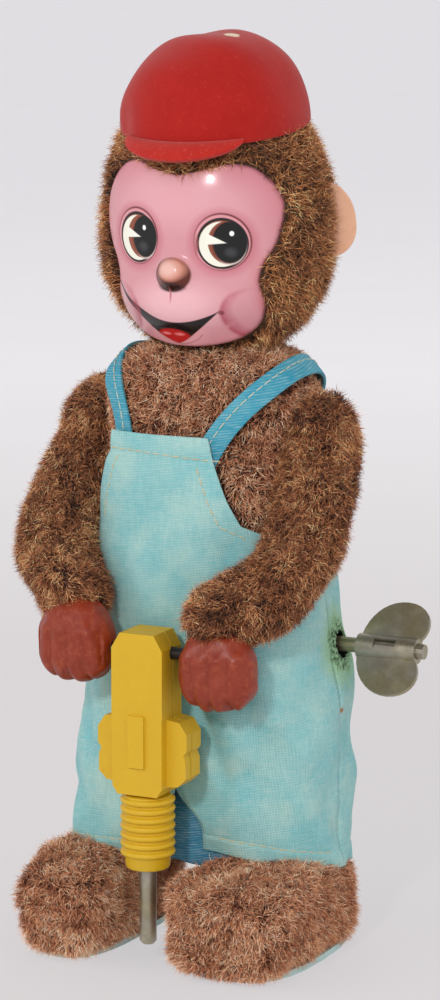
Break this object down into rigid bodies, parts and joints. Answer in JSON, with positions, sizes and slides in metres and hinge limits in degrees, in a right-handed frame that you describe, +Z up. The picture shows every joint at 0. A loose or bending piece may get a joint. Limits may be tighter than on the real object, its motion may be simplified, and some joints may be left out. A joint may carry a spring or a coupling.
{
  "type": "wind-up plush monkey with road drill",
  "caption": "Wind-up toy monkey in cloth overalls and a cap, holding a road drill; clockwork in the body, a side key, rocking arms and a turning head.",
  "frame": {"origin": "bottom centre of the bounding box, on the surface that the toy stands on", "axes": "+Z up, -Y the way the toy faces, +X its own left, where the key is"},
  "size_m": [0.0778, 0.0546, 0.1782],
  "materials": {
    "plush_body": "plush pile, reddish brown with golden tips",
    "plush_head": "plush pile, golden brown",
    "cap_red": "matt moulded felt",
    "face_litho": "glossy printed tin",
    "ear_peach": "matt felt",
    "cloth_aqua": "faded cotton twill",
    "cloth_strap": "cotton twill, stitched",
    "hand_vinyl": "worn soft vinyl",
    "drill_yellow": "moulded, satin",
    "steel": "tarnished",
    "dark_steel": "blued and dull",
    "brass": "stamped",
    "tinplate": "plain tinplate",
    "sole_card": "matt, pale aqua"
  },
  "bodies": {
    "root": {"body_shell_front": "tinplate", "body_shell_rear": "tinplate", "base_plate": "dark_steel", "neck_tube": "steel", "torso_plush": "plush_body", "overalls_front": "cloth_aqua", "overalls_rear": "cloth_aqua", "strap_left": "cloth_strap", "strap_right": "cloth_strap", "foot_shell_left": "tinplate", "foot_shell_right": "tinplate", "foot_plush_left": "plush_body", "foot_plush_right": "plush_body", "foot_post_left": "dark_steel", "foot_post_right": "dark_steel", "sole_left": "sole_card", "sole_right": "sole_card", "motor_plate_left": "steel", "motor_plate_right": "steel", "motor_pillar_1": "steel", "motor_pillar_2": "steel", "motor_pillar_3": "steel", "motor_pillar_4": "steel", "mainspring": "dark_steel"},
    "head": {"head_shell_front": "tinplate", "head_shell_rear": "tinplate", "head_plush": "plush_head", "face_mask": "face_litho", "cap_crown": "cap_red", "cap_visor": "cap_red", "ear_left": "ear_peach", "ear_right": "ear_peach"},
    "arms": {"shoulder_axle": "steel", "arm_lever": "steel", "arm_core_left": "dark_steel", "arm_core_right": "dark_steel", "arm_plush_left": "plush_body", "arm_plush_right": "plush_body", "hand_left": "hand_vinyl", "hand_right": "hand_vinyl", "handle_bar": "dark_steel"},
    "drill": {"drill_front": "drill_yellow", "drill_rear": "drill_yellow", "drill_barrel": "drill_yellow", "drill_bit": "steel"},
    "winder": {"winding_key": "steel", "key_arbor": "steel", "great_wheel": "brass", "ratchet_wheel": "steel", "click_pawl": "steel"},
    "second_train": {"second_arbor": "steel", "second_wheel": "brass", "second_pinion": "steel"},
    "crank_train": {"crank_arbor": "steel", "crank_wheel": "brass", "crank_pinion": "steel", "arm_cam": "brass"},
    "vibrator": {"weight_arbor": "steel", "weight_pinion": "steel", "vibrator_weight": "dark_steel"}
  },
  "joints": [
    {"name": "head_turn", "type": "hinge", "parent": "root", "child": "head", "pos_m": [-0.00365, 0.00498, 0.118], "axis": [0, 0, 1], "range_deg": [-25, 25]},
    {"name": "arms_rock", "type": "hinge", "parent": "root", "child": "arms", "pos_m": [-0.00365, 0.00498, 0.104], "axis": [1, 0, 0], "range_deg": [-9, 0]},
    {"name": "drill_swing", "type": "hinge", "parent": "arms", "child": "drill", "pos_m": [-0.00485, -0.02202, 0.062], "axis": [1, 0, 0], "range_deg": [-10, 5]},
    {"name": "winder_turn", "type": "hinge", "parent": "root", "child": "winder", "pos_m": [-0.00365, 0.01028, 0.0594], "axis": [1, 0, 0], "continuous": true},
    {"name": "second_turn", "type": "hinge", "parent": "root", "child": "second_train", "pos_m": [-0.00365, 0.00496, 0.06862], "axis": [1, 0, 0], "continuous": true},
    {"name": "crank_turn", "type": "hinge", "parent": "root", "child": "crank_train", "pos_m": [-0.00365, 0.00402, 0.0776], "axis": [1, 0, 0], "continuous": true},
    {"name": "vibrator_turn", "type": "hinge", "parent": "root", "child": "vibrator", "pos_m": [-0.00365, 0.01123, 0.08023], "axis": [1, 0, 0], "continuous": true}
  ],
  "couplings": [
    {"joint": "second_turn", "follows": "winder_turn", "ratio": -3.3333},
    {"joint": "crank_turn", "follows": "winder_turn", "ratio": 8.8889},
    {"joint": "vibrator_turn", "follows": "winder_turn", "ratio": -22.222}
  ]
}
